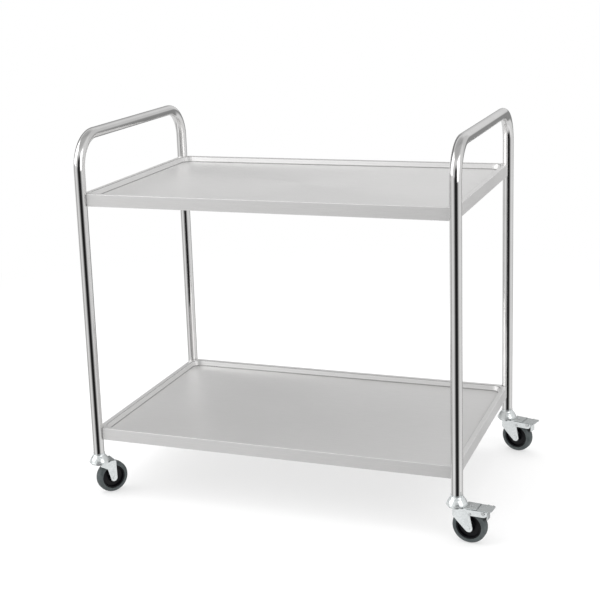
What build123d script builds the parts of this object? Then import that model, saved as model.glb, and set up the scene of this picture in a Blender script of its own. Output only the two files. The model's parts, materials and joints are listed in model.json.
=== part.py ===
from build123d import *
import math
import os

# All sizes are in mm. The origin is on the floor, midway between the four legs.
# +X runs along the shelves, +Y across them and +Z up.

# Legs and handles: each end of the cart is one bent tube.
LEG_X = 427.5
LEG_Y = 272.5
TUBE_R = 12.7
TUBE_WALL = 1.2
TUBE_FOOT_Z = 103.0
HANDLE_Z = 848.8
BEND_R = 75.0

# Shelves: pressed sheet with a flat lip, a sloping wall and a sunken deck.
SHEET = 1.2
SHELF_X = 858.0
SHELF_Y = 546.0
SHELF_H = 28.0
TOP_RIM_Z = 720.5
LOWER_RIM_Z = 164.0
LIP = 12.0
WALL_RUN = 4.5
DECK_DROP = 13.0
DECK_CORNER_R = 20.0
NOTCH_R = TUBE_R + 0.25
SKIRT_EDGE_R = 1.6
RETURN_FLANGE = 12.0

# Hidden channel under each deck.
RIB_LENGTH = 760.0
RIB_WIDTH = 46.0
RIB_FLANGE = 14.0
RIB_DEPTH = 11.0

# Shelf corners: saddle, bolt and threaded insert on the inward diagonal of each leg.
SADDLE_R_IN = NOTCH_R + SHEET + 0.2
SADDLE_R_OUT = SADDLE_R_IN + 3.0
SADDLE_SPAN = 36.0
SADDLE_H = 18.0
GUSSET_REACH = 46.0
GUSSET_T = 2.0
BOLT_RISE = 11.0
BOLT_R = 3.0
BOLT_HOLE_R = 3.3
BOLT_TIP = 3.4
BOLT_HEAD_R = 5.5
BOLT_HEAD_H = 4.0
HEX_SOCKET = 4.0
INSERT_R = 4.4
INSERT_HOLE_R = 4.5
INSERT_OUT = 11.9
INSERT_IN = 3.0
INSERT_BULGE_R = 5.7
INSERT_BULGE = (7.2, 9.7)
INSERT_BORE_R = 3.05

# Casters: u runs along the trail from the swivel axis, v across it.
# Each corner: sign of X, sign of Y, swivel direction in degrees, brake fitted.
CASTERS = {
    "fl": (-1, -1, 52.0, False),
    "fr": (1, -1, -6.0, True),
    "rl": (-1, 1, 180.0, False),
    "rr": (1, 1, -15.0, True),
}
WHEEL_R = 37.5
WHEEL_HALF_W = 12.0
TRAIL = 29.0
TYRE_SHOULDER_R = 8.0
CORE_R = 27.4
TYRE_SEAT_R = 27.5
CORE_RIM_HALF_W = 10.0
CORE_RIM_T = 2.6
CORE_WEB_HALF_W = 5.0
HUB_R = 10.0
HUB_HALF_W = 15.0
BUSH_R = 6.0
BUSH_HALF_W = 15.35
HUB_BORE_R = BUSH_R + 0.07
AXLE_R = 4.0
AXLE_HOLE_R = 4.06
AXLE_HEAD_R = 5.2
AXLE_HEAD_H = 0.8

# Fork.
FORK_IN = 15.5
FORK_OUT = 18.0
LEG_FRONT_U = -4.4
LEG_FRONT_Z = 61.0
LEG_BACK_U = 34.4
LEG_BACK_Z = 65.0
LEG_TIP_U = 31.0
LEG_TIP_R = 8.5
SLIM_FRONT_Z = 72.0
SLIM_KNEE = (12.0, 62.0)
SLIM_TIP_U = 27.0
SLIM_TIP_R = 8.0
CROWN_Z = (76.6, 79.2)
CROWN_R = 20.5
RACE_PROFILE_OUT = ((5.08, 84.8), (13.0, 84.8), (16.5, 81.1), (17.2, 78.0))
RACE_PROFILE_IN = ((14.8, 76.6), (14.2, 79.6), (11.6, 82.3), (5.08, 82.3))
WING_Z = 80.6
WING_PLATE = 2.5
WING_START_U = 19.6
WING_CLEAR_R = 24.0
BRAKED_WING_U = 39.5
BRAKED_WING_LOW_Z = 65.0

# Swivel head: domed cup over one ring of balls, on the stem.
CUP_Z = (80.4, 102.8)
CUP_PROFILE_OUT = (
    (13.2, 102.8), (13.2, 98.6), (14.4, 96.6), (17.2, 93.4), (19.2, 90.6), (21.0, 87.2),
    (22.4, 83.8), (22.6, 82.6), (23.2, 82.0), (23.2, 80.4),
)
CUP_PROFILE_IN = ((21.3, 80.4), (20.6, 84.0), (18.6, 88.0), (15.6, 92.4), (12.6, 95.0))
BALL_R = 2.75
BALL_PITCH_R = 15.2
BALL_Z = 87.0
BALL_COUNT = 16
STEM_R = 5.0
STEM_HOLE_R = 5.1
STEM_Z = (78.5, 137.5)
STEM_HEAD_R = 9.0
STEM_HEAD_H = 3.4
SLEEVE_R = 11.3
SLEEVE_Z = (103.4, 127.8)
SLEEVE_GROOVES = (108.0, 114.5, 121.0)
NUT_FLATS = 16.0
NUT_Z = (128.2, 135.2)

# Brake: bracket on the fork, pedal on a cross pin, rubber shoe under the pedal.
EAR_IN = 18.2
EAR_OUT = 20.2
EAR_Z = (67.6, 80.0)
EAR_START_U = 27.0
PIN_U = 63.5
PIN_Z = 76.6
EAR_END_R = 9.0
BRIDGE_U = (39.8, 45.2)
BRIDGE_T = 1.8
RIVET_U = 34.5
RIVET_Z = 70.8
RIVET_R = 1.9
RIVET_HOLE_R = 2.0
RIVET_HEAD_R = 3.2
RIVET_HEAD_H = 1.1
LEAF_Z = (80.7, 82.1)
LEAF_END_U = 48.0
LEAF_HALF_W = 17.0
LEAF_LIP_Z = 78.4
LEAF_RIVET_U = 32.0
PEDAL_Z = (79.4, 81.2)
PEDAL_U = (49.6, 79.8)
PEDAL_HALF_W = 17.8
PEDAL_TREAD_U = 73.4
PEDAL_TREAD_HALF_W = 19.2
PEDAL_CORNER_R = 6.0
LUG_IN = 15.8
LUG_OUT = 17.9
LUG_R = 5.2
PIN_R = 2.5
PIN_HOLE_R = 2.57
PIN_HEAD_R = 4.2
PIN_HEAD_H = 1.3
PEDAL_SWING = 15.0
WEB_U = (68.0, 69.8)
WEB_LOW_Z = 57.5
WEB_HALF_W = 9.0
SHOE_U = (58.4, 67.9)
SHOE_Z = (53.0, 73.4)
SHOE_CLEAR_R = WHEEL_R + 0.4

CORNERS = [(sx, sy) for sx in (-1, 1) for sy in (-1, 1)]


def polygon(*points):
    """Flat face through the given points."""
    return make_face(Polyline(*points, close=True))


def turned(*points):
    """Solid of revolution about Z from points given as (radius, height)."""
    return revolve(Plane.XZ * polygon(*points), Axis.Z)


def upright(outline, v_from, v_to):
    """Plate standing in the wheel's plane, between two offsets across it."""
    return Pos(0, v_to, 0) * extrude(Plane.XZ * outline, v_to - v_from)


def cross_rod(radius, u, z, v_from, v_to):
    """Cylinder lying across the fork."""
    middle = (v_from + v_to) / 2
    return Pos(u, middle, z) * Rot(90, 0, 0) * Cylinder(radius, v_to - v_from)


def rod_up(radius, z_from, z_to):
    """Cylinder about Z between two heights."""
    return Pos(0, 0, (z_from + z_to) / 2) * Cylinder(radius, z_to - z_from)


def slab(u_range, v_half, z_range):
    """Box from two ranges, centred across v."""
    length = u_range[1] - u_range[0]
    height = z_range[1] - z_range[0]
    centre = Pos((u_range[0] + u_range[1]) / 2, 0, (z_range[0] + z_range[1]) / 2)
    return centre * Box(length, 2 * v_half, height)


def inward(sx, sy, z):
    """Frame at a leg's axis whose +X points along the diagonal to the shelf's middle."""
    angle = math.degrees(math.atan2(-sy, -sx))
    return Pos(sx * LEG_X, sy * LEG_Y, z) * Rot(0, 0, angle)


def diagonal_rod(radius, start, end):
    """Cylinder along the local X axis."""
    return Pos((start + end) / 2, 0, 0) * Rot(0, 90, 0) * Cylinder(radius, end - start)


# ---------------------------------------------------------------- end frames

def handle_path(x):
    """Centre line of one end frame, from the front foot over the handle to the rear foot."""
    bend_z = HANDLE_Z - BEND_R
    bend_y = LEG_Y - BEND_R
    front = Line((x, -LEG_Y, TUBE_FOOT_Z), (x, -LEG_Y, bend_z))
    front_mid = (x, -bend_y - BEND_R * math.sqrt(0.5), bend_z + BEND_R * math.sqrt(0.5))
    front_bend = ThreePointArc((x, -LEG_Y, bend_z), front_mid, (x, -bend_y, HANDLE_Z))
    grip = Line((x, -bend_y, HANDLE_Z), (x, bend_y, HANDLE_Z))
    rear_mid = (x, bend_y + BEND_R * math.sqrt(0.5), bend_z + BEND_R * math.sqrt(0.5))
    rear_bend = ThreePointArc((x, bend_y, HANDLE_Z), rear_mid, (x, LEG_Y, bend_z))
    rear = Line((x, LEG_Y, bend_z), (x, LEG_Y, TUBE_FOOT_Z))
    return Wire([front, front_bend, grip, rear_bend, rear])


def end_frame(sx):
    """Bent tube: two legs and the handle between them."""
    path = handle_path(sx * LEG_X)
    foot = Plane((sx * LEG_X, -LEG_Y, TUBE_FOOT_Z), z_dir=(0, 0, 1))
    ring = Circle(TUBE_R) - Circle(TUBE_R - TUBE_WALL)
    tube = sweep(foot * ring, path=path)
    for sy in (-1, 1):
        for rim_z in (TOP_RIM_Z, LOWER_RIM_Z):
            place = inward(sx, sy, rim_z - SHELF_H + BOLT_RISE)
            tube -= place * diagonal_rod(INSERT_HOLE_R, INSERT_IN, TUBE_R + 1)
    return tube


# ---------------------------------------------------------------- shelves

def shelf_plan(inset, notch_r):
    """Shelf outline drawn in from its outer faces, with a round notch at each leg."""
    plan = Rectangle(SHELF_X - 2 * inset, SHELF_Y - 2 * inset)
    for sx, sy in CORNERS:
        plan -= Pos(sx * LEG_X, sy * LEG_Y) * Circle(notch_r)
    return plan


def tray(grow_top, grow_bottom, z_bottom, z_top):
    """Sunken tray shape: a rounded rectangle that narrows towards its floor."""
    floor_inset = LIP + WALL_RUN
    floor_x = SHELF_X - 2 * floor_inset + 2 * grow_bottom
    floor_y = SHELF_Y - 2 * floor_inset + 2 * grow_bottom
    mouth_x = SHELF_X - 2 * LIP + 2 * grow_top
    mouth_y = SHELF_Y - 2 * LIP + 2 * grow_top
    floor_r = DECK_CORNER_R + grow_bottom
    mouth_r = DECK_CORNER_R + WALL_RUN / 2 + grow_top
    floor = Pos(0, 0, z_bottom) * RectangleRounded(floor_x, floor_y, floor_r)
    mouth = Pos(0, 0, z_top) * RectangleRounded(mouth_x, mouth_y, mouth_r)
    return loft([floor.face(), mouth.face()])


def shelf(rim_z):
    """Pressed sheet shelf: skirt, lip, sloping wall, deck and a return under the skirt."""
    deck_z = SHELF_H - DECK_DROP
    slope = math.atan(WALL_RUN / DECK_DROP)
    body = extrude(shelf_plan(0, NOTCH_R), SHELF_H)
    body = fillet(body.edges().group_by(Axis.Z)[-1], SKIRT_EDGE_R)
    body -= tray(0, 0, deck_z, SHELF_H)
    wide_top = SHEET / math.cos(slope)
    wide_floor = wide_top - SHEET * math.tan(slope)
    under = Pos(0, 0, SHEET) * extrude(shelf_plan(SHEET, NOTCH_R + SHEET), SHELF_H - 2 * SHEET)
    under -= tray(wide_top, wide_floor, deck_z - SHEET, SHELF_H)
    body -= under
    body -= extrude(shelf_plan(RETURN_FLANGE, NOTCH_R + 4), SHEET)
    rim_edges = []
    for edge in body.edges().filter_by_position(Axis.Z, SHELF_H - 0.01, SHELF_H + 0.01):
        centre = edge.center()
        if abs(centre.X) < SHELF_X / 2 - LIP + 0.5 and abs(centre.Y) < SHELF_Y / 2 - LIP + 0.5:
            rim_edges.append(edge)
    body = fillet(rim_edges, 1.6)
    floor_edges = body.edges().filter_by_position(Axis.Z, deck_z - 0.01, deck_z + 0.01)
    body = fillet(floor_edges, 3.0)
    for sx, sy in CORNERS:
        body -= inward(sx, sy, BOLT_RISE) * diagonal_rod(BOLT_HOLE_R, NOTCH_R - 2, NOTCH_R + 4)
    return Pos(0, 0, rim_z - SHELF_H) * body


def rib(rim_z):
    """Channel under a deck, along its middle."""
    top = rim_z - DECK_DROP - SHEET - 0.05
    half = RIB_WIDTH / 2
    wide = half + RIB_FLANGE
    low = top - RIB_DEPTH
    section = polygon(
        (-wide, top), (-half + SHEET, top), (-half + SHEET, low + SHEET),
        (half - SHEET, low + SHEET), (half - SHEET, top), (wide, top),
        (wide, top - SHEET), (half, top - SHEET), (half, low),
        (-half, low), (-half, top - SHEET), (-wide, top - SHEET),
    )
    return Pos(-RIB_LENGTH / 2, 0, 0) * extrude(Plane.YZ * section, RIB_LENGTH)


def corner_gusset(sx, sy, rim_z):
    """Curved saddle behind the leg with a flat web under it."""
    reach = 2 * SADDLE_R_OUT
    edge_y = reach * math.tan(math.radians(SADDLE_SPAN))
    wedge = polygon((0, 0), (reach, -edge_y), (reach, edge_y))
    ring = Circle(SADDLE_R_OUT) - Circle(SADDLE_R_IN)
    saddle = extrude(ring & wedge, SADDLE_H)
    saddle -= Pos(0, 0, BOLT_RISE - SHEET - 0.1) * diagonal_rod(BOLT_HOLE_R, 0, reach)
    half = GUSSET_REACH * 0.45
    web = polygon((SADDLE_R_IN + 1, -9), (GUSSET_REACH, -half), (GUSSET_REACH, half), (SADDLE_R_IN + 1, 9))
    web -= Circle(SADDLE_R_IN + 1)
    gusset = saddle + extrude(web, GUSSET_T)
    return inward(sx, sy, rim_z - SHELF_H + SHEET + 0.1) * gusset


def shelf_bolt(sx, sy, rim_z):
    """Socket-head bolt from under the deck into the leg."""
    head_at = SADDLE_R_OUT + 0.1
    bolt = diagonal_rod(BOLT_R, BOLT_TIP, head_at + 0.5)
    bolt += diagonal_rod(BOLT_HEAD_R, head_at, head_at + BOLT_HEAD_H)
    socket = extrude(Plane.YZ * RegularPolygon(HEX_SOCKET / 2, 6, major_radius=False), 2.2)
    bolt -= Pos(head_at + BOLT_HEAD_H - 2.2, 0, 0) * socket
    return inward(sx, sy, rim_z - SHELF_H + BOLT_RISE) * bolt


def threaded_insert(sx, sy, rim_z):
    """Rivet nut fixed in the leg's wall."""
    body = diagonal_rod(INSERT_R, INSERT_IN, INSERT_OUT)
    body += diagonal_rod(INSERT_BULGE_R, INSERT_BULGE[0], INSERT_BULGE[1])
    body -= diagonal_rod(INSERT_BORE_R, INSERT_IN - 1, INSERT_OUT + 1)
    return inward(sx, sy, rim_z - SHELF_H + BOLT_RISE) * body


# ---------------------------------------------------------------- casters

def swivel_cup():
    """Domed cap that the tube stands on."""
    inside_top = CUP_PROFILE_IN[-1][1]
    return turned((STEM_HOLE_R, CUP_Z[1]), *CUP_PROFILE_OUT, *CUP_PROFILE_IN, (STEM_HOLE_R, inside_top))


def swivel_balls():
    """Ring of loose balls between the cup and the fork's race."""
    balls = []
    for index in range(BALL_COUNT):
        angle = 360.0 * index / BALL_COUNT
        balls.append(Rot(0, 0, angle) * Pos(BALL_PITCH_R, 0, BALL_Z) * Sphere(BALL_R))
    return Compound(children=balls)


def caster_stem():
    """Threaded stem with a wide head held under the fork's race."""
    head = rod_up(STEM_HEAD_R, STEM_Z[0], STEM_Z[0] + STEM_HEAD_H)
    stem = head + rod_up(STEM_R, STEM_Z[0], STEM_Z[1])
    return chamfer(stem.edges().group_by(Axis.Z)[-1], 1.0)


def expander_sleeve():
    """Rubber sleeve that grips the inside of the leg."""
    sleeve = rod_up(SLEEVE_R, SLEEVE_Z[0], SLEEVE_Z[1]) - rod_up(STEM_HOLE_R, 0, 200)
    for z in SLEEVE_GROOVES:
        groove = rod_up(SLEEVE_R + 1, z, z + 2.5) - rod_up(SLEEVE_R - 1, z - 1, z + 4)
        sleeve -= groove
    return sleeve


def expander_nut():
    """Hexagon nut that squeezes the sleeve."""
    flats = RegularPolygon(NUT_FLATS / 2, 6, major_radius=False) - Circle(STEM_HOLE_R)
    return Pos(0, 0, NUT_Z[0]) * extrude(flats, NUT_Z[1] - NUT_Z[0])


def leg_outline(braked):
    """Side view of one fork leg; it is slimmer where no brake is fitted."""
    if braked:
        slant = LEG_TIP_R * math.sqrt(0.5)
        front = ((LEG_FRONT_U, LEG_FRONT_Z), (LEG_TIP_U - slant, WHEEL_R - slant), (LEG_TIP_U, WHEEL_R))
        tip_u, tip_r = LEG_TIP_U, LEG_TIP_R
    else:
        front = ((LEG_FRONT_U, SLIM_FRONT_Z), SLIM_KNEE, (SLIM_TIP_U - SLIM_TIP_R, WHEEL_R))
        tip_u, tip_r = SLIM_TIP_U, SLIM_TIP_R
    shape = polygon(
        (LEG_FRONT_U, CROWN_Z[1]), *front,
        (tip_u + tip_r, WHEEL_R), (LEG_BACK_U, LEG_BACK_Z), (LEG_BACK_U, CROWN_Z[1]),
    )
    shape += Pos(tip_u, WHEEL_R) * Circle(tip_r)
    wing_u = BRAKED_WING_U if braked else LEG_BACK_U
    wing = polygon(
        (WING_START_U, CROWN_Z[0]), (WING_START_U, WING_Z - 3), (WING_START_U + 3, WING_Z),
        (wing_u - 2, WING_Z), (wing_u, WING_Z - 2), (wing_u, CROWN_Z[0]),
    )
    shape += wing
    if braked:
        shape += polygon(
            (LEG_BACK_U - 1, CROWN_Z[1]), (wing_u, CROWN_Z[1]),
            (wing_u, BRAKED_WING_LOW_Z + 3), (LEG_BACK_U - 1, BRAKED_WING_LOW_Z),
        )
    return shape


def fork(braked):
    """Pressed fork: crown with its raised ball race, rear wing and two legs."""
    race = turned(*RACE_PROFILE_OUT, *RACE_PROFILE_IN)
    wing_u = BRAKED_WING_U if braked else LEG_BACK_U
    crown_plan = Circle(CROWN_R)
    middle = LEG_BACK_U / 2
    crown_plan += Pos(middle, 0) * Rectangle(LEG_BACK_U, 2 * FORK_OUT)
    crown_plan += Pos(LEG_FRONT_U / 2, 0) * Rectangle(-LEG_FRONT_U, 2 * FORK_OUT)
    crown_plan -= Circle(RACE_PROFILE_IN[0][0])
    crown = Pos(0, 0, CROWN_Z[0]) * extrude(crown_plan, CROWN_Z[1] - CROWN_Z[0])
    body = race + crown
    outline = leg_outline(braked)
    body += upright(outline, FORK_IN, FORK_OUT)
    body += upright(outline, -FORK_OUT, -FORK_IN)
    wing = slab((WING_START_U, wing_u - 1), FORK_OUT, (WING_Z - WING_PLATE, WING_Z))
    body += wing - rod_up(WING_CLEAR_R, 0, 200)
    body -= cross_rod(AXLE_HOLE_R, TRAIL, WHEEL_R, -30, 30)
    if braked:
        body -= cross_rod(RIVET_HOLE_R, RIVET_U, RIVET_Z, -30, 30)
        body -= Pos(LEAF_RIVET_U, 0, 0) * rod_up(RIVET_HOLE_R, CROWN_Z[0] - 1, WING_Z + 1)
    return body


def at_wheel(shape):
    """Move a shape drawn about the Y axis to the wheel's centre."""
    return Pos(TRAIL, 0, WHEEL_R) * shape


def tyre():
    """Soft rounded tyre."""
    middle = (TYRE_SEAT_R + WHEEL_R) / 2
    section = Pos(middle, 0) * Rectangle(WHEEL_R - TYRE_SEAT_R, 2 * WHEEL_HALF_W)
    section = fillet(section.vertices().group_by(Axis.X)[-1], TYRE_SHOULDER_R)
    section = fillet(section.vertices().group_by(Axis.X)[0], 1.2)
    return at_wheel(revolve(section, Axis.Y))


def wheel_core():
    """Moulded core: rim, dished web and hub."""
    rim_in = CORE_R - CORE_RIM_T
    half = polygon(
        (HUB_BORE_R, -HUB_HALF_W), (HUB_R, -HUB_HALF_W), (HUB_R + 1.5, -CORE_WEB_HALF_W - 2),
        (HUB_R + 3, -CORE_WEB_HALF_W), (rim_in - 1.5, -CORE_WEB_HALF_W), (rim_in, -CORE_RIM_HALF_W),
        (CORE_R, -CORE_RIM_HALF_W), (CORE_R, CORE_RIM_HALF_W), (rim_in, CORE_RIM_HALF_W),
        (rim_in - 1.5, CORE_WEB_HALF_W), (HUB_R + 3, CORE_WEB_HALF_W),
        (HUB_R + 1.5, CORE_WEB_HALF_W + 2), (HUB_R, HUB_HALF_W), (HUB_BORE_R, HUB_HALF_W),
    )
    return at_wheel(revolve(half, Axis.Y))


def axle_bush():
    """Steel sleeve that the hub turns on."""
    bush = cross_rod(BUSH_R, TRAIL, WHEEL_R, -BUSH_HALF_W, BUSH_HALF_W)
    return bush - cross_rod(AXLE_HOLE_R, TRAIL, WHEEL_R, -30, 30)


def headed_pin(radius, head_r, head_h, u, z, half_w):
    """Cross pin with a low head on each side."""
    pin = cross_rod(radius, u, z, -half_w - head_h / 2, half_w + head_h / 2)
    for side in (-1, 1):
        inner = side * half_w
        outer = side * (half_w + head_h)
        head = cross_rod(head_r, u, z, min(inner, outer), max(inner, outer))
        rim = head.edges().group_by(Axis.Y)[-1 if side > 0 else 0]
        pin += fillet(rim, head_h * 0.6)
    return pin


# ---------------------------------------------------------------- brakes

def brake_bracket():
    """Two ears joined by a bridge, riveted to the fork's legs."""
    ear = Pos(PIN_U, PIN_Z) * Circle(EAR_END_R)
    ear += polygon(
        (EAR_START_U, EAR_Z[0] + 3), (EAR_START_U + 3, EAR_Z[0]),
        (PIN_U, EAR_Z[0]), (PIN_U, EAR_Z[1]), (EAR_START_U, EAR_Z[1]),
    )
    ear -= Pos(PIN_U, EAR_Z[1] + 10) * Rectangle(60, 20)
    body = upright(ear, EAR_IN, EAR_OUT) + upright(ear, -EAR_OUT, -EAR_IN)
    body += slab(BRIDGE_U, EAR_OUT, (EAR_Z[1] - BRIDGE_T, EAR_Z[1]))
    body -= cross_rod(PIN_HOLE_R, PIN_U, PIN_Z, -30, 30)
    body -= cross_rod(RIVET_HOLE_R, RIVET_U, RIVET_Z, -30, 30)
    return body


def brake_rivets():
    """Side rivets through ear and leg, and the rivet that holds the leaf."""
    rivets = []
    for side in (-1, 1):
        tail = side * (FORK_IN - 0.1)
        seat = side * (EAR_OUT + 0.05)
        tip = side * (EAR_OUT + 0.05 + RIVET_HEAD_H)
        shank = cross_rod(RIVET_R, RIVET_U, RIVET_Z, min(tail, tip), max(tail, tip))
        head = cross_rod(RIVET_HEAD_R, RIVET_U, RIVET_Z, min(seat, tip), max(seat, tip))
        rim = head.edges().group_by(Axis.Y)[-1 if side > 0 else 0]
        rivets.append(shank + fillet(rim, 0.6))
    head_z = LEAF_Z[1] + 0.05
    cap = rod_up(RIVET_HEAD_R, head_z, head_z + RIVET_HEAD_H)
    cap = fillet(cap.edges().group_by(Axis.Z)[-1], 0.6)
    top = cap + rod_up(RIVET_R, CROWN_Z[0], head_z + 0.5)
    rivets.append(Pos(LEAF_RIVET_U, 0, 0) * top)
    return Compound(children=rivets)


def brake_leaf():
    """Spring leaf on the fork's wing, turned down at its free end."""
    body = slab((WING_START_U, LEAF_END_U), LEAF_HALF_W, LEAF_Z) - rod_up(WING_CLEAR_R, 0, 200)
    thickness = LEAF_Z[1] - LEAF_Z[0]
    body += slab((LEAF_END_U - thickness, LEAF_END_U), LEAF_HALF_W - 3, (LEAF_LIP_Z, LEAF_Z[1]))
    return body - Pos(LEAF_RIVET_U, 0, 0) * rod_up(RIVET_HOLE_R, 70, 100)


def brake_pedal():
    """Foot plate with two lugs on the pin and a web that carries the shoe."""
    tread = slab((PEDAL_TREAD_U, PEDAL_U[1]), PEDAL_TREAD_HALF_W, PEDAL_Z)
    tread = fillet(tread.edges().filter_by(Axis.Z).group_by(Axis.X)[-1], PEDAL_CORNER_R)
    plate = slab((PEDAL_U[0], PEDAL_TREAD_U + 1), PEDAL_HALF_W, PEDAL_Z) + tread
    lug = Pos(PIN_U, PIN_Z) * Circle(LUG_R)
    lug += Pos(PIN_U, (PIN_Z + PEDAL_Z[0] + 0.5) / 2) * Rectangle(2 * LUG_R, PEDAL_Z[0] + 0.5 - PIN_Z)
    body = plate + upright(lug, LUG_IN, LUG_OUT) + upright(lug, -LUG_OUT, -LUG_IN)
    body += slab(WEB_U, WEB_HALF_W, (WEB_LOW_Z, PEDAL_Z[0] + 0.5))
    for side in (-1, 1):
        body += Pos(WEB_U[1] + 3, side * 8, PEDAL_Z[0] - 0.6) * Box(8, 1.6, 1.4)
    return body - cross_rod(PIN_HOLE_R, PIN_U, PIN_Z, -30, 30)


def brake_shoe():
    """Rubber block whose face matches the tyre when the pedal is pressed."""
    swing = math.radians(PEDAL_SWING)
    du = TRAIL - PIN_U
    dz = WHEEL_R - PIN_Z
    face_u = PIN_U + du * math.cos(swing) - dz * math.sin(swing)
    face_z = PIN_Z + du * math.sin(swing) + dz * math.cos(swing)
    block = slab(SHOE_U, WEB_HALF_W, SHOE_Z)
    return block - cross_rod(SHOE_CLEAR_R, face_u, face_z, -30, 30)


# ---------------------------------------------------------------- files

def save(name, shape):
    """Write one node's STEP file."""
    shape.label = name
    export_step(shape, f"parts/{name}.step")


def save_cart():
    """Everything that stays with the shelves and legs."""
    save("left_end_frame", end_frame(-1))
    save("right_end_frame", end_frame(1))
    for level, rim_z in (("top", TOP_RIM_Z), ("lower", LOWER_RIM_Z)):
        save(f"{level}_shelf", shelf(rim_z))
        save(f"{level}_stiffener", rib(rim_z))
        gussets = [corner_gusset(sx, sy, rim_z) for sx, sy in CORNERS]
        save(f"{level}_corner_gussets", Compound(children=gussets))
    levels = (TOP_RIM_Z, LOWER_RIM_Z)
    bolts = [shelf_bolt(sx, sy, z) for sx, sy in CORNERS for z in levels]
    save("shelf_bolts", Compound(children=bolts))
    inserts = [threaded_insert(sx, sy, z) for sx, sy in CORNERS for z in levels]
    save("threaded_inserts", Compound(children=inserts))


def save_caster(corner, sx, sy, direction, braked):
    """One caster, and its brake when it has one."""
    place = Pos(sx * LEG_X, sy * LEG_Y, 0) * Rot(0, 0, direction)
    pieces = {
        "expander_sleeve": expander_sleeve(),
        "caster_stem": caster_stem(),
        "swivel_cup": swivel_cup(),
        "swivel_balls": swivel_balls(),
        "fork": fork(braked),
        "axle_pin": headed_pin(AXLE_R, AXLE_HEAD_R, AXLE_HEAD_H, TRAIL, WHEEL_R, FORK_OUT + 0.05),
        "axle_bush": axle_bush(),
        "wheel_core": wheel_core(),
        "tyre": tyre(),
    }
    if braked:
        pieces["brake_bracket"] = brake_bracket()
        pieces["brake_rivets"] = brake_rivets()
        pieces["brake_leaf"] = brake_leaf()
        pieces["brake_pivot_pin"] = headed_pin(PIN_R, PIN_HEAD_R, PIN_HEAD_H, PIN_U, PIN_Z, EAR_OUT + 0.1)
        pieces["brake_pedal"] = brake_pedal()
        pieces["brake_shoe"] = brake_shoe()
    for name, shape in pieces.items():
        save(f"{name}_{corner}", place * shape)


def main():
    """Write every node."""
    os.makedirs("parts", exist_ok=True)
    save_cart()
    nuts = []
    for corner, (sx, sy, direction, braked) in CASTERS.items():
        save_caster(corner, sx, sy, direction, braked)
        nuts.append(Pos(sx * LEG_X, sy * LEG_Y, 0) * expander_nut())
    save("expander_nuts", Compound(children=nuts))


main()
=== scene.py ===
import bpy
import json
import math
from mathutils import Matrix, Vector

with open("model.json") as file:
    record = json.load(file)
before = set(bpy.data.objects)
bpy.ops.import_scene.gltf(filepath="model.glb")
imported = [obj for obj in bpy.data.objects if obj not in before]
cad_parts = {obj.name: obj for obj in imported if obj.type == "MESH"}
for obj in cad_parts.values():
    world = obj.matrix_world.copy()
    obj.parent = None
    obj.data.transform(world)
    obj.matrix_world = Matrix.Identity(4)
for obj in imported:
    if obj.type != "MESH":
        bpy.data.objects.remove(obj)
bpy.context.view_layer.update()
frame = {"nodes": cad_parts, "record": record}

# ------------------------------------------------------------------ camera
CAMERA_AT = (1.0248, -2.8202, 1.2463)
CAMERA_YAW = 0.3823
CAMERA_PITCH = 0.2270
CAMERA_ROLL = -0.0392
CAMERA_LENS = 78.76
CAMERA_SHIFT = (0.0667, -0.0833)

# Where a shelf's inner lip ends, from the middle of the cart, in metres.
LIP_END_X = 0.4225
LIP_END_Y = 0.2665

# Floor: half its width, and the radii between which it turns into an even glow.
FLOOR_REACH = 14.0
FLOOR_Z = -0.0005
GLOW_FROM, GLOW_TO = 0.8, 2.4

# Azimuth of the middle of the studio's dark window, and the metal's darkest and brightest surroundings.
WINDOW_AZIMUTH = CAMERA_YAW - math.pi / 2
STUDIO_DARK = 0.015
STUDIO_RANGE = 0.785

# Softboxes: place, aim, width, height, power in watts, seen in the metal or not.
SOFTBOXES = {
    "top": ((-0.4, 0.2, 3.4), (0.0, 0.0, 0.0), 3.2, 2.6, 56, False),
    "left": ((-3.0, -1.6, 2.4), (0.0, 0.0, 0.3), 3.0, 3.2, 48, True),
    "right": ((3.0, -1.8, 1.8), (0.0, 0.0, 0.3), 2.4, 3.0, 28, True),
}


def make_camera():
    """Camera at the measured place, turned by yaw, pitch and roll."""
    cy, sy = math.cos(CAMERA_YAW), math.sin(CAMERA_YAW)
    cp, sp = math.cos(CAMERA_PITCH), math.sin(CAMERA_PITCH)
    cr, sr = math.cos(CAMERA_ROLL), math.sin(CAMERA_ROLL)
    ahead = Vector((-sy * cp, cy * cp, -sp))
    level = Vector((cy, sy, 0.0))
    over = level.cross(ahead)
    right = level * cr + over * sr
    up = over * cr - level * sr
    data = bpy.data.cameras.new("camera")
    data.lens = CAMERA_LENS
    data.sensor_width = 36.0
    data.shift_x, data.shift_y = CAMERA_SHIFT
    camera = bpy.data.objects.new("camera", data)
    turn = Matrix((right, up, -ahead)).transposed().to_4x4()
    camera.matrix_world = Matrix.Translation(CAMERA_AT) @ turn
    bpy.context.collection.objects.link(camera)
    bpy.context.scene.camera = camera


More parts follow.
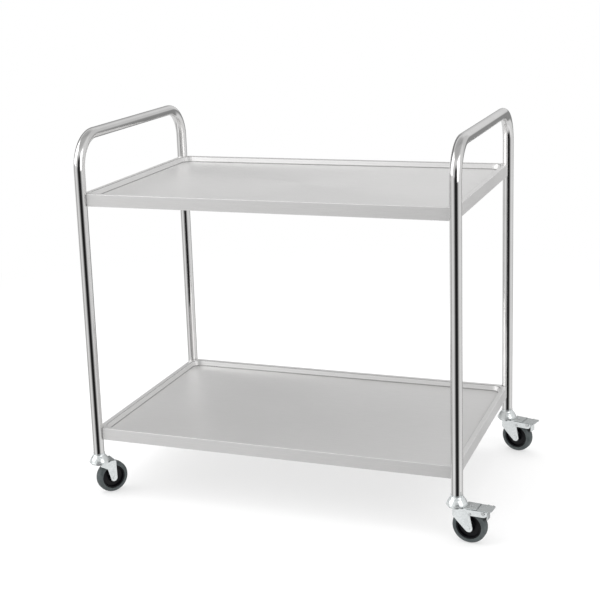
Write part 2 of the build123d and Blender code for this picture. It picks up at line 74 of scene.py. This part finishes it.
# ------------------------------------------------------------------ node helpers
class Nodes:
    """Short calls for building a node tree."""

    def __init__(self, tree):
        self.tree = tree
        self.tree.nodes.clear()

    def new(self, kind, **settings):
        node = self.tree.nodes.new(kind)
        for name, value in settings.items():
            setattr(node, name, value)
        return node

    def put(self, socket, value):
        if isinstance(value, bpy.types.NodeSocket):
            self.tree.links.new(value, socket)
        else:
            socket.default_value = value

    def math(self, operation, a, b=0.0, c=0.0):
        node = self.new("ShaderNodeMath", operation=operation)
        for socket, value in zip(node.inputs, (a, b, c)):
            self.put(socket, value)
        return node.outputs[0]

    def spread(self, value, lo, hi, to_lo, to_hi, smooth=False):
        node = self.new("ShaderNodeMapRange")
        node.interpolation_type = "SMOOTHSTEP" if smooth else "LINEAR"
        for socket, item in zip(node.inputs, (value, lo, hi, to_lo, to_hi)):
            self.put(socket, item)
        return node.outputs[0]

    def sector(self, angle, lo, hi, to_lo, to_hi):
        """Smooth step over an angle, with its limits in degrees."""
        return self.spread(angle, math.radians(lo), math.radians(hi), to_lo, to_hi, True)

    def product(self, first, *others):
        for other in others:
            first = self.math("MULTIPLY", first, other)
        return first

    def off(self, value, middle):
        """Distance of a value from a middle."""
        return self.math("ABSOLUTE", self.math("SUBTRACT", value, middle))

    def parts(self, vector):
        node = self.new("ShaderNodeSeparateXYZ")
        self.put(node.inputs[0], vector)
        return node.outputs

    def own_normal(self):
        """Parts of the normal in the piece's own axes."""
        return self.parts(self.new("ShaderNodeTexCoord").outputs["Normal"])

    def mix(self, factor, a, b):
        node = self.new("ShaderNodeMix", data_type="RGBA")
        self.put(node.inputs[0], factor)
        self.put(node.inputs[6], a)
        self.put(node.inputs[7], b)
        return node.outputs[2]

    def mix_number(self, factor, a, b):
        node = self.new("ShaderNodeMix", data_type="FLOAT")
        self.put(node.inputs[0], factor)
        self.put(node.inputs[2], a)
        self.put(node.inputs[3], b)
        return node.outputs[0]

    def mix_shader(self, factor, a, b):
        node = self.new("ShaderNodeMixShader")
        self.put(node.inputs[0], factor)
        self.put(node.inputs[1], a)
        self.put(node.inputs[2], b)
        return node.outputs[0]

    def place(self, scale=(1, 1, 1)):
        coords = self.new("ShaderNodeTexCoord")
        mapping = self.new("ShaderNodeMapping")
        self.put(mapping.inputs["Vector"], coords.outputs["Object"])
        self.put(mapping.inputs["Scale"], scale)
        return mapping.outputs[0]

    def noise(self, vector, scale, detail=3.0, rough=0.55):
        node = self.new("ShaderNodeTexNoise")
        self.put(node.inputs["Vector"], vector)
        self.put(node.inputs["Scale"], scale)
        self.put(node.inputs["Detail"], detail)
        self.put(node.inputs["Roughness"], rough)
        return node.outputs["Fac"]

    def bump(self, height, depth, strength=1.0, normal=None):
        node = self.new("ShaderNodeBump")
        self.put(node.inputs["Strength"], strength)
        self.put(node.inputs["Distance"], depth)
        self.put(node.inputs["Height"], height)
        if normal is not None:
            self.put(node.inputs["Normal"], normal)
        return node.outputs[0]

    def principled(self, metallic, color, rough, normal=None, **extra):
        shader = self.new("ShaderNodeBsdfPrincipled")
        self.put(shader.inputs["Metallic"], metallic)
        self.put(shader.inputs["Base Color"], color)
        self.put(shader.inputs["Roughness"], rough)
        if normal is not None:
            self.put(shader.inputs["Normal"], normal)
        for name, value in extra.items():
            self.put(shader.inputs[name.replace("_", " ")], value)
        return shader.outputs[0]

    def finish(self, shader):
        """Send a shader to the material's output."""
        self.put(self.new("ShaderNodeOutputMaterial").inputs["Surface"], shader)

    def surface(self, metallic, color, rough, normal, **extra):
        self.finish(self.principled(metallic, color, rough, normal, **extra))


def material(name):
    """Empty node material and its helper."""
    made = bpy.data.materials.new(name)
    made.use_nodes = True
    return made, Nodes(made.node_tree)


def grey(value, warm=0.0):
    """Colour of one tone, warmed a little when asked."""
    return (value * (1 + warm), value, value * (1 - warm), 1.0)


# ------------------------------------------------------------------ materials
def polished_tube():
    """Mirror-polished stainless tube with faint lengthwise polishing lines and handling haze."""
    made, n = material("polished_tube")
    lines = n.noise(n.place((1, 0.03, 0.03)), 2600.0, 2.0)
    haze = n.noise(n.place(), 14.0, 4.0)
    specks = n.noise(n.place(), 900.0, 1.0)
    rough = n.spread(haze, 0.35, 0.7, 0.045, 0.11)
    rough = n.math("MULTIPLY_ADD", lines, 0.035, rough)
    color = n.mix(n.spread(haze, 0.3, 0.75, 0.0, 1.0), grey(0.80, 0.004), grey(0.73, 0.008))
    wear = n.spread(specks, 0.68, 0.75, 0.0, 0.25)
    color = n.mix(wear, color, grey(0.55))
    height = n.math("MULTIPLY_ADD", n.noise(n.place((1, 1, 0.35)), 28.0, 2.0), 3.0, lines)
    normal = n.bump(height, 0.00002, 0.35)
    n.surface(1.0, color, rough, normal)
    return made


def satin_sheet():
    """Satin-brushed stainless sheet; the grain turns on the end faces, and the tray's bends are smoother, with a
    painted dark reflection darkening their colour.
    """
    made, n = material("satin_sheet")
    facing = n.own_normal()
    end_face = n.math("GREATER_THAN", n.math("ABSOLUTE", facing[0]), 0.75)
    along = n.noise(n.place((0.012, 1, 1)), 2200.0, 3.0, 0.7)
    across = n.noise(n.place((1, 0.012, 1)), 2200.0, 3.0, 0.7)
    grain = n.mix_number(end_face, along, across)
    cloud = n.noise(n.place(), 5.0, 3.0)
    smear = n.noise(n.place((0.4, 1, 1)), 38.0, 3.0)
    rough = n.spread(cloud, 0.3, 0.7, 0.33, 0.40)
    rough = n.math("MULTIPLY_ADD", grain, 0.10, rough)
    rough = n.math("MULTIPLY_ADD", n.spread(smear, 0.62, 0.75, 0.0, 1.0), 0.04, rough)
    spot = n.parts(n.place())
    in_x = n.math("LESS_THAN", n.math("ABSOLUTE", spot[0]), LIP_END_X)
    in_y = n.math("LESS_THAN", n.math("ABSOLUTE", spot[1]), LIP_END_Y)
    # Mask of the tray's inner bends: it makes them smoother and carries their painted shade.
    above_wall = n.spread(facing[2], 0.34, 0.48, 0.0, 1.0, True)
    below_flat = n.spread(facing[2], 0.90, 0.985, 1.0, 0.0, True)
    bend_smooth_and_painted_shade = n.product(above_wall, below_flat, in_x, in_y)
    rough = n.math("MULTIPLY", rough, n.spread(bend_smooth_and_painted_shade, 0.0, 1.0, 1.0, 0.7))
    tone = n.spread(grain, 0.3, 0.7, 0.0, 1.0)
    color = n.mix(tone, grey(0.73, 0.006), grey(0.81, 0.006))
    # Painted shade: the bends' colour is drawn darker, standing in for the dark reflection along them.
    color = n.mix(n.math("MULTIPLY", bend_smooth_and_painted_shade, 0.8), color, grey(0.26, 0.006))
    normal = n.bump(grain, 0.00003, 0.5)
    normal = n.bump(cloud, 0.0004, 0.12, normal)
    n.surface(0.76, color, rough, normal, Anisotropic=0.4)
    return made


def zinc_plate():
    """Bright zinc plating on pressed steel: soft waviness, spangle and dull patches."""
    made, n = material("zinc_plate")
    spangle = n.noise(n.place(), 260.0, 3.0)
    dull = n.noise(n.place(), 60.0, 4.0)
    fine = n.noise(n.place(), 2400.0, 2.0)
    flat_top = n.spread(n.own_normal()[2], 0.90, 0.99, 0.0, 1.0, True)
    rough = n.spread(dull, 0.35, 0.7, 0.10, 0.22)
    rough = n.math("MULTIPLY_ADD", fine, 0.06, rough)
    color = n.mix(n.spread(spangle, 0.3, 0.7, 0.0, 1.0), (0.72, 0.75, 0.76, 1), (0.83, 0.86, 0.86, 1))
    grime = n.spread(dull, 0.62, 0.8, 0.0, 0.35)
    color = n.mix(grime, color, (0.50, 0.52, 0.51, 1))
    # Painted shade: the flat, upward-facing tops of the zinc are drawn darker in patches.
    wear_and_painted_shade = n.math("MULTIPLY", flat_top, n.spread(dull, 0.2, 0.7, 0.75, 1.0))
    color = n.mix(wear_and_painted_shade, color, (0.44, 0.46, 0.46, 1))
    height = n.math("MULTIPLY_ADD", spangle, 2.0, fine)
    normal = n.bump(height, 0.00004, 0.5)
    n.surface(0.76, color, rough, normal)
    return made


def fastener_steel():
    """Plated pins, bolts and balls with turning marks."""
    made, n = material("fastener_steel")
    marks = n.noise(n.place(), 700.0, 3.0)
    patch = n.noise(n.place(), 120.0, 3.0)
    rough = n.spread(patch, 0.3, 0.7, 0.16, 0.30)
    color = n.mix(n.spread(marks, 0.35, 0.65, 0.0, 1.0), (0.55, 0.57, 0.58, 1), (0.70, 0.71, 0.71, 1))
    normal = n.bump(marks, 0.00003, 0.4)
    n.surface(1.0, color, rough, normal)
    return made


def core_plastic():
    """Black moulded plastic with a fine grain and rubbed high spots."""
    made, n = material("core_plastic")
    grain = n.noise(n.place(), 1500.0, 3.0)
    scuff = n.noise(n.place(), 90.0, 4.0)
    rough = n.spread(scuff, 0.35, 0.7, 0.34, 0.50)
    color = n.mix(n.spread(scuff, 0.5, 0.8, 0.0, 1.0), (0.0025, 0.0025, 0.0038, 1), (0.010, 0.010, 0.013, 1))
    normal = n.bump(grain, 0.00004, 0.5)
    n.surface(0.0, color, rough, normal, Specular_IOR_Level=0.22)
    return made


def tyre_rubber():
    """Dark grey rubber tyre, dusty where it rolls."""
    made, n = material("tyre_rubber")
    grain = n.noise(n.place(), 1100.0, 3.0)
    dust = n.noise(n.place(), 70.0, 4.0)
    rough = n.spread(dust, 0.3, 0.7, 0.48, 0.68)
    color = n.mix(n.spread(dust, 0.4, 0.75, 0.0, 1.0), (0.052, 0.064, 0.066, 1), (0.095, 0.108, 0.110, 1))
    speck = n.spread(grain, 0.66, 0.74, 0.0, 0.35)
    color = n.mix(speck, color, (0.20, 0.21, 0.21, 1))
    normal = n.bump(grain, 0.00006, 0.6)
    n.surface(0.0, color, rough, normal)
    return made


def black_rubber(name):
    """Black rubber with a moulded grain."""
    made, n = material(name)
    grain = n.noise(n.place(), 1300.0, 3.0)
    wear_and_painted_shade = n.noise(n.place(), 130.0, 3.0)
    rough = n.spread(wear_and_painted_shade, 0.3, 0.7, 0.50, 0.70)
    color = n.mix(n.spread(wear_and_painted_shade, 0.45, 0.75, 0.0, 1.0), (0.012, 0.012, 0.013, 1), (0.035, 0.035, 0.036, 1))
    normal = n.bump(grain, 0.00006, 0.6)
    n.surface(0.0, color, rough, normal)
    return made


def dress():
    """Give every CAD node the material of its slot."""
    looks = {
        "polished_tube": polished_tube(),
        "satin_sheet": satin_sheet(),
        "zinc_plate": zinc_plate(),
        "fastener_steel": fastener_steel(),
        "core_plastic": core_plastic(),
        "tyre_rubber": tyre_rubber(),
        "sleeve_rubber": black_rubber("sleeve_rubber"),
        "shoe_rubber": black_rubber("shoe_rubber"),
    }
    slots = {item["node"]: item["material_slot"] for item in frame["record"]["subparts"]}
    for name, piece in frame["nodes"].items():
        piece.data.materials.clear()
        piece.data.materials.append(looks[slots[name]])


# ------------------------------------------------------------------ studio
def make_floor():
    """Plain pale floor, left out of mirror reflections so the metal shows the studio instead."""
    mesh = bpy.data.meshes.new("floor")
    corners = [(x * FLOOR_REACH, y * FLOOR_REACH, 0) for x, y in ((-1, -1), (1, -1), (1, 1), (-1, 1))]
    mesh.from_pydata(corners, [], [(0, 1, 2, 3)])
    floor = bpy.data.objects.new("floor", mesh)
    bpy.context.collection.objects.link(floor)
    made, n = material("floor")
    cloud = n.noise(n.place(), 1.2, 2.0)
    color = n.mix(cloud, grey(0.93), grey(0.95))
    away = n.new("ShaderNodeVectorMath", operation="LENGTH")
    n.put(away.inputs[0], n.place())
    share = n.spread(away.outputs["Value"], GLOW_FROM, GLOW_TO, 0.56, 1.0, True)
    glow = n.new("ShaderNodeEmission").outputs[0]
    n.finish(n.mix_shader(share, n.principled(0.0, color, 0.9), glow))
    mesh.materials.append(made)
    floor.visible_glossy = False
    floor.location.z = FLOOR_Z


def lower_studio(n, turn, z):
    """What metal sees below the horizon: a dark window in front, a dimmer right side and the pale floor."""
    away = n.math("ABSOLUTE", turn)
    front = n.sector(away, 15, 58, 0.0, 1.0)
    left = n.sector(n.off(turn, math.radians(-106)), 4, 20, 0.50, 1.0)
    right = n.sector(turn, 116, 134, 1.0, 0.34)
    sides = n.product(front, left, right)
    straight_down = n.spread(z, -0.62, -0.90, 0.0, 1.0, True)
    beside_window = n.product(n.sector(away, 32, 46, 0.0, 1.0), n.sector(away, 75, 95, 1.0, 0.0))
    floor_glow = n.product(n.spread(z, -0.26, -0.40, 0.0, 1.15, True), beside_window)
    return n.math("MAXIMUM", n.math("MAXIMUM", sides, straight_down), floor_glow)


def upper_studio(n, azimuth, turn, z):
    """What metal sees above the horizon: white in front, darker at the back, and the top of the dark window."""
    away = n.math("ABSOLUTE", turn)
    back = n.sector(azimuth, 88, 128, 0.95, 0.26)
    back = n.math("MAXIMUM", back, n.spread(z, 0.42, 0.60, 0.0, 0.92, True))
    front = n.sector(away, 105, 140, 1.0, 0.0)
    gap = n.sector(n.off(azimuth, math.radians(54)), 14, 26, 0.85, 1.0)
    window = n.math("MAXIMUM", n.sector(away, 12, 42, 0.0, 1.0), n.spread(z, 0.30, 0.70, 0.0, 1.0, True))
    zenith = n.spread(z, 0.60, 0.90, 1.0, 0.62, True)
    return n.product(n.math("MAXIMUM", back, front), gap, window, zenith)


def make_world():
    """White studio light; only reflections in metal see the studio's darker parts."""
    world = bpy.data.worlds.new("studio")
    bpy.context.scene.world = world
    world.use_nodes = True
    n = Nodes(world.node_tree)
    x, y, z = n.parts(n.new("ShaderNodeTexCoord").outputs["Generated"])
    azimuth = n.math("ARCTAN2", y, x)
    turn = n.math("WRAP", n.math("SUBTRACT", azimuth, WINDOW_AZIMUTH), math.pi, -math.pi)
    horizon = n.spread(z, -0.02, 0.10, 0.0, 1.0, True)
    level = n.mix_number(horizon, lower_studio(n, turn, z), upper_studio(n, azimuth, turn, z))
    plain = n.new("ShaderNodeBackground")
    n.put(plain.inputs[0], (1, 1, 1, 1))
    n.put(plain.inputs[1], 1.0)
    studio = n.new("ShaderNodeBackground")
    n.put(studio.inputs[0], (1, 1, 1, 1))
    n.put(studio.inputs[1], n.math("MULTIPLY_ADD", level, STUDIO_RANGE, STUDIO_DARK))
    glossy = n.new("ShaderNodeLightPath").outputs["Is Glossy Ray"]
    blend = n.mix_shader(glossy, plain.outputs[0], studio.outputs[0])
    n.put(n.new("ShaderNodeOutputWorld").inputs[0], blend)


def softbox(name, at, aim, width, height, power, mirrored):
    """Rectangular soft light; the metal doesn't mirror it when mirrored is False."""
    data = bpy.data.lights.new(name, "AREA")
    data.shape = "RECTANGLE"
    data.size, data.size_y = width, height
    data.energy = power
    light = bpy.data.objects.new(name, data)
    light.visible_glossy = mirrored
    light.location = at
    light.rotation_mode = "QUATERNION"
    light.rotation_quaternion = (Vector(aim) - Vector(at)).to_track_quat("-Z", "Y")
    bpy.context.collection.objects.link(light)


def make_lights():
    """Large softboxes above, to the left and to the right."""
    for name, settings in SOFTBOXES.items():
        softbox(name, *settings)


make_camera()
dress()
make_floor()
make_world()
make_lights()
bpy.context.scene.view_settings.view_transform = "Standard"
